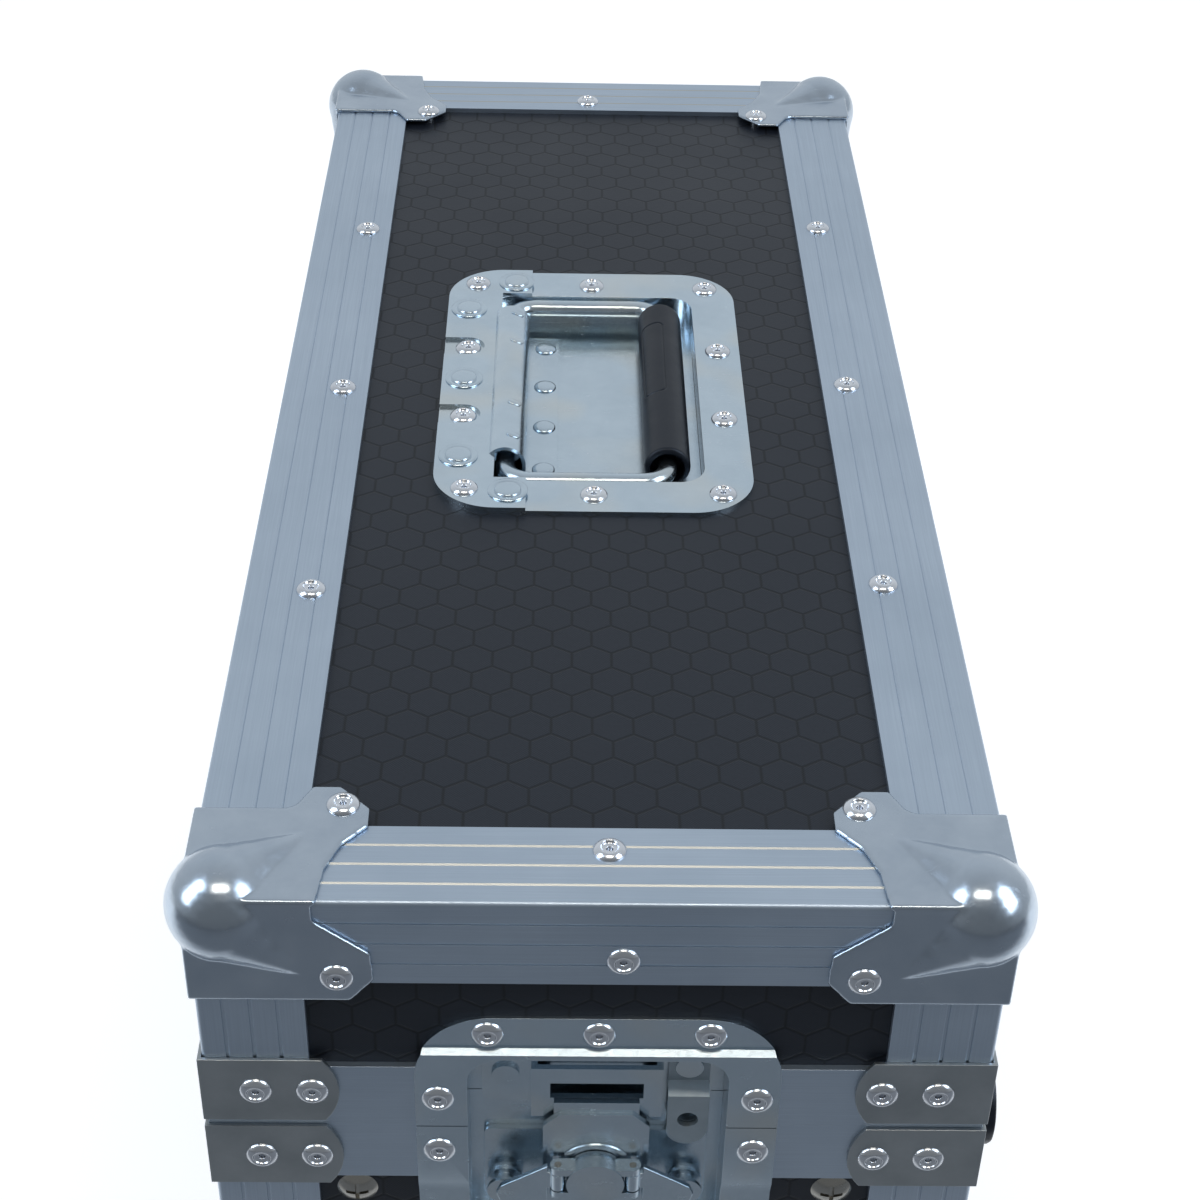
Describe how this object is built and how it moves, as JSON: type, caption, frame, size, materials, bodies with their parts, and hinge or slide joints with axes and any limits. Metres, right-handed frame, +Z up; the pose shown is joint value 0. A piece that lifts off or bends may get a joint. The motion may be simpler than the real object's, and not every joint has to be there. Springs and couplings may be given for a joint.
{
  "type": "rack case",
  "caption": "Shallow flight case for 19-inch rack equipment, with lift-off lid, butterfly latches, ball corners and a sprung recessed handle.",
  "frame": {"origin": "on the surface that the case stands on, under the middle of its outline", "axes": "+Z up out of the case's mouth, +Y along its 19-inch width, +X across its four units, towards the rubber feet"},
  "size_m": [0.2427, 0.5396, 0.3946],
  "materials": {
    "laminate": "hexagon-embossed phenolic laminate",
    "extrusion": "satin anodised, grooved",
    "zinc": "bright zinc plate",
    "brace": "dull zinc plate",
    "rivet": "bright steel",
    "rubber": "smooth black rubber",
    "nickel": "dark nickel plate",
    "plywood": "bare birch plywood"
  },
  "bodies": {
    "case": {"body_front_panel": "laminate", "body_rear_panel": "laminate", "body_left_panel": "laminate", "body_right_panel": "laminate", "body_base_panel": "laminate", "body_corner_edges": "extrusion", "body_base_edges": "extrusion", "body_rim": "extrusion", "body_ball_corners": "zinc", "body_corner_braces": "brace", "body_rivets": "rivet", "rubber_feet": "rubber", "foot_screws": "nickel", "rack_rails": "nickel", "rail_spacers": "plywood", "rail_screws": "nickel", "rail_nuts": "nickel", "front_latch_dish": "zinc", "rear_latch_dish": "zinc", "front_latch_base": "zinc", "rear_latch_base": "zinc", "front_lower_hasp": "zinc", "rear_lower_hasp": "zinc"},
    "lid": {"lid_top_panel": "laminate", "lid_front_panel": "laminate", "lid_rear_panel": "laminate", "lid_left_panel": "laminate", "lid_right_panel": "laminate", "lid_corner_edges": "extrusion", "lid_top_edges": "extrusion", "lid_rim": "extrusion", "lid_ball_corners": "zinc", "lid_corner_braces": "brace", "lid_rivets": "rivet", "front_keeper_dish": "zinc", "rear_keeper_dish": "zinc", "front_keeper": "zinc", "rear_keeper": "zinc", "front_upper_hasp": "zinc", "rear_upper_hasp": "zinc", "handle_dish": "zinc", "handle_strap": "zinc", "handle_rivets": "rivet", "handle_spring": "zinc"},
    "handle": {"handle_bail": "zinc", "handle_grip": "rubber"},
    "front_latch_cam": {"front_cam": "zinc", "front_cam_clip": "zinc", "front_wing_pins": "nickel"},
    "front_latch_claw": {"front_claw": "zinc"},
    "front_latch_left_wing": {"front_left_wing": "zinc"},
    "front_latch_right_wing": {"front_right_wing": "zinc"},
    "rear_latch_cam": {"rear_cam": "zinc", "rear_cam_clip": "zinc", "rear_wing_pins": "nickel"},
    "rear_latch_claw": {"rear_claw": "zinc"},
    "rear_latch_left_wing": {"rear_left_wing": "zinc"},
    "rear_latch_right_wing": {"rear_right_wing": "zinc"}
  },
  "joints": [
    {"name": "lid_lift", "type": "slide", "parent": "case", "child": "lid", "axis": [0, 0, 1], "range_m": [0, 0.15]},
    {"name": "handle_swing", "type": "hinge", "parent": "lid", "child": "handle", "pos_m": [-0.03495, 0.0035, 0.3838], "axis": [0, -1, 0], "range_deg": [0, 90], "stiffness_Nm_per_rad": 0.12, "springref_deg": -28.65},
    {"name": "front_cam_turn", "type": "hinge", "parent": "case", "child": "front_latch_cam", "pos_m": [-0.0036, -0.263, 0.2748], "axis": [0, 1, 0], "range_deg": [0, 180]},
    {"name": "front_claw_lift", "type": "slide", "parent": "case", "child": "front_latch_claw", "axis": [0, 0, 1], "range_m": [0, 0.006]},
    {"name": "front_left_wing_flip", "type": "hinge", "parent": "front_latch_cam", "child": "front_latch_left_wing", "pos_m": [-0.0146, -0.26146, 0.2748], "axis": [0, 0, 1], "range_deg": [0, 85]},
    {"name": "front_right_wing_flip", "type": "hinge", "parent": "front_latch_cam", "child": "front_latch_right_wing", "pos_m": [0.0074, -0.26146, 0.2748], "axis": [0, 0, -1], "range_deg": [0, 85]},
    {"name": "rear_cam_turn", "type": "hinge", "parent": "case", "child": "rear_latch_cam", "pos_m": [-0.0036, 0.263, 0.2748], "axis": [0, -1, 0], "range_deg": [0, 180]},
    {"name": "rear_claw_lift", "type": "slide", "parent": "case", "child": "rear_latch_claw", "axis": [0, 0, 1], "range_m": [0, 0.006]},
    {"name": "rear_left_wing_flip", "type": "hinge", "parent": "rear_latch_cam", "child": "rear_latch_left_wing", "pos_m": [0.0074, 0.26146, 0.2748], "axis": [0, 0, 1], "range_deg": [0, 85]},
    {"name": "rear_right_wing_flip", "type": "hinge", "parent": "rear_latch_cam", "child": "rear_latch_right_wing", "pos_m": [-0.0146, 0.26146, 0.2748], "axis": [0, 0, -1], "range_deg": [0, 85]}
  ],
  "couplings": [
    {"joint": "front_claw_lift", "follows": "front_cam_turn", "m_per_rad": 0.0019099},
    {"joint": "rear_claw_lift", "follows": "rear_cam_turn", "m_per_rad": 0.0019099}
  ]
}
